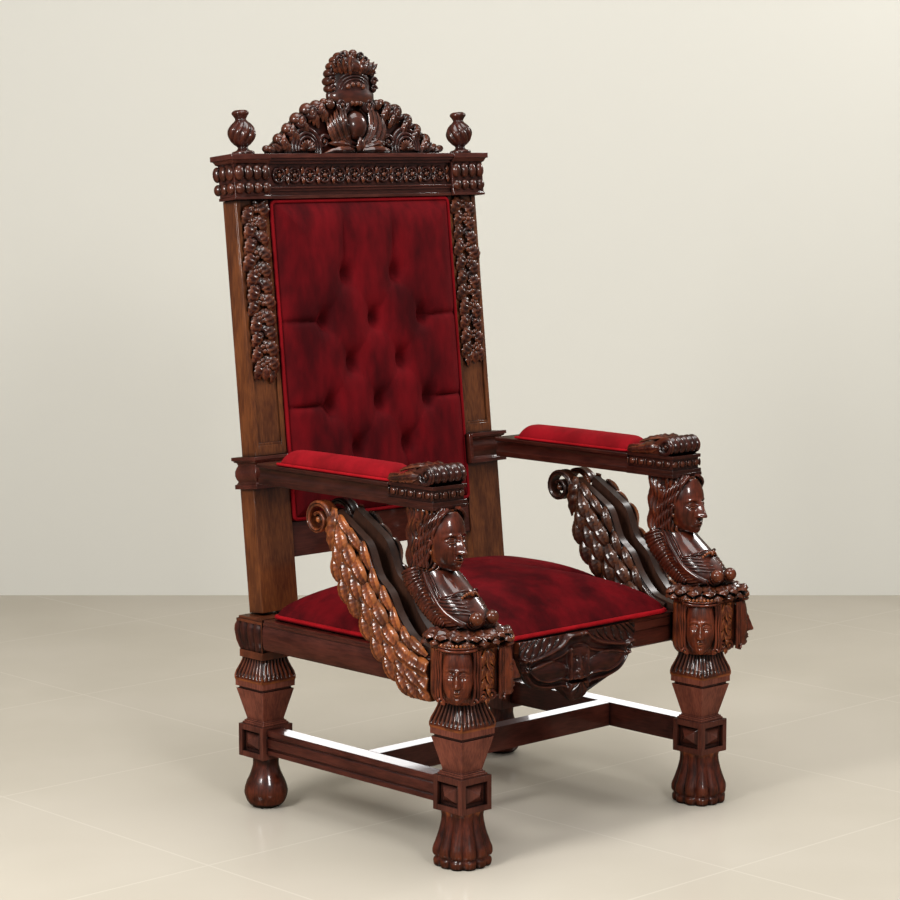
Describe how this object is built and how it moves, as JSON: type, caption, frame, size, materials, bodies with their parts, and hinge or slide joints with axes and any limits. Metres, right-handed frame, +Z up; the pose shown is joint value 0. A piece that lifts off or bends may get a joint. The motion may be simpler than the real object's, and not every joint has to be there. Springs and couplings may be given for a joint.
{
  "type": "carved throne armchair",
  "caption": "High-backed ceremonial armchair in carved dark wood with winged figure arm supports, paw feet, a crowned crest and red tufted upholstery",
  "frame": {"origin": "on the floor, under the middle of the throne's bounding box", "axes": "+Z up; the throne faces -Y, and +X is to the right of a viewer who faces its front"},
  "size_m": [0.9828, 0.9428, 1.7841],
  "materials": {
    "mahogany": "dark reddish-brown stained wood under a glossy lacquer, darker in the carving's recesses",
    "upholstery": "deep red velvet with brighter red piping"
  },
  "bodies": {
    "root": {"front_leg_left": "mahogany", "front_leg_right": "mahogany", "rear_leg_left": "mahogany", "rear_leg_right": "mahogany", "side_stretcher_left": "mahogany", "side_stretcher_right": "mahogany", "side_rail_left": "mahogany", "side_rail_right": "mahogany", "mask_block_left": "mahogany", "mask_block_right": "mahogany", "sphinx_left": "mahogany", "sphinx_right": "mahogany", "outer_wing_left": "mahogany", "outer_wing_right": "mahogany", "inner_wing_left": "mahogany", "inner_wing_right": "mahogany", "arm_left": "mahogany", "arm_right": "mahogany", "arm_pad_left": "upholstery", "arm_pad_right": "upholstery", "cross_stretcher": "mahogany", "front_rail": "mahogany", "rear_rail": "mahogany", "front_apron": "mahogany", "seat_cushion": "upholstery", "back_post_left": "mahogany", "back_post_right": "mahogany", "arm_collar_left": "mahogany", "arm_collar_right": "mahogany", "cornice_cap_left": "mahogany", "cornice_cap_right": "mahogany", "finial_left": "mahogany", "finial_right": "mahogany", "lower_back_rail": "mahogany", "back_pad": "upholstery", "back_board": "mahogany", "frieze": "mahogany", "crest": "mahogany"}
  },
  "joints": []
}
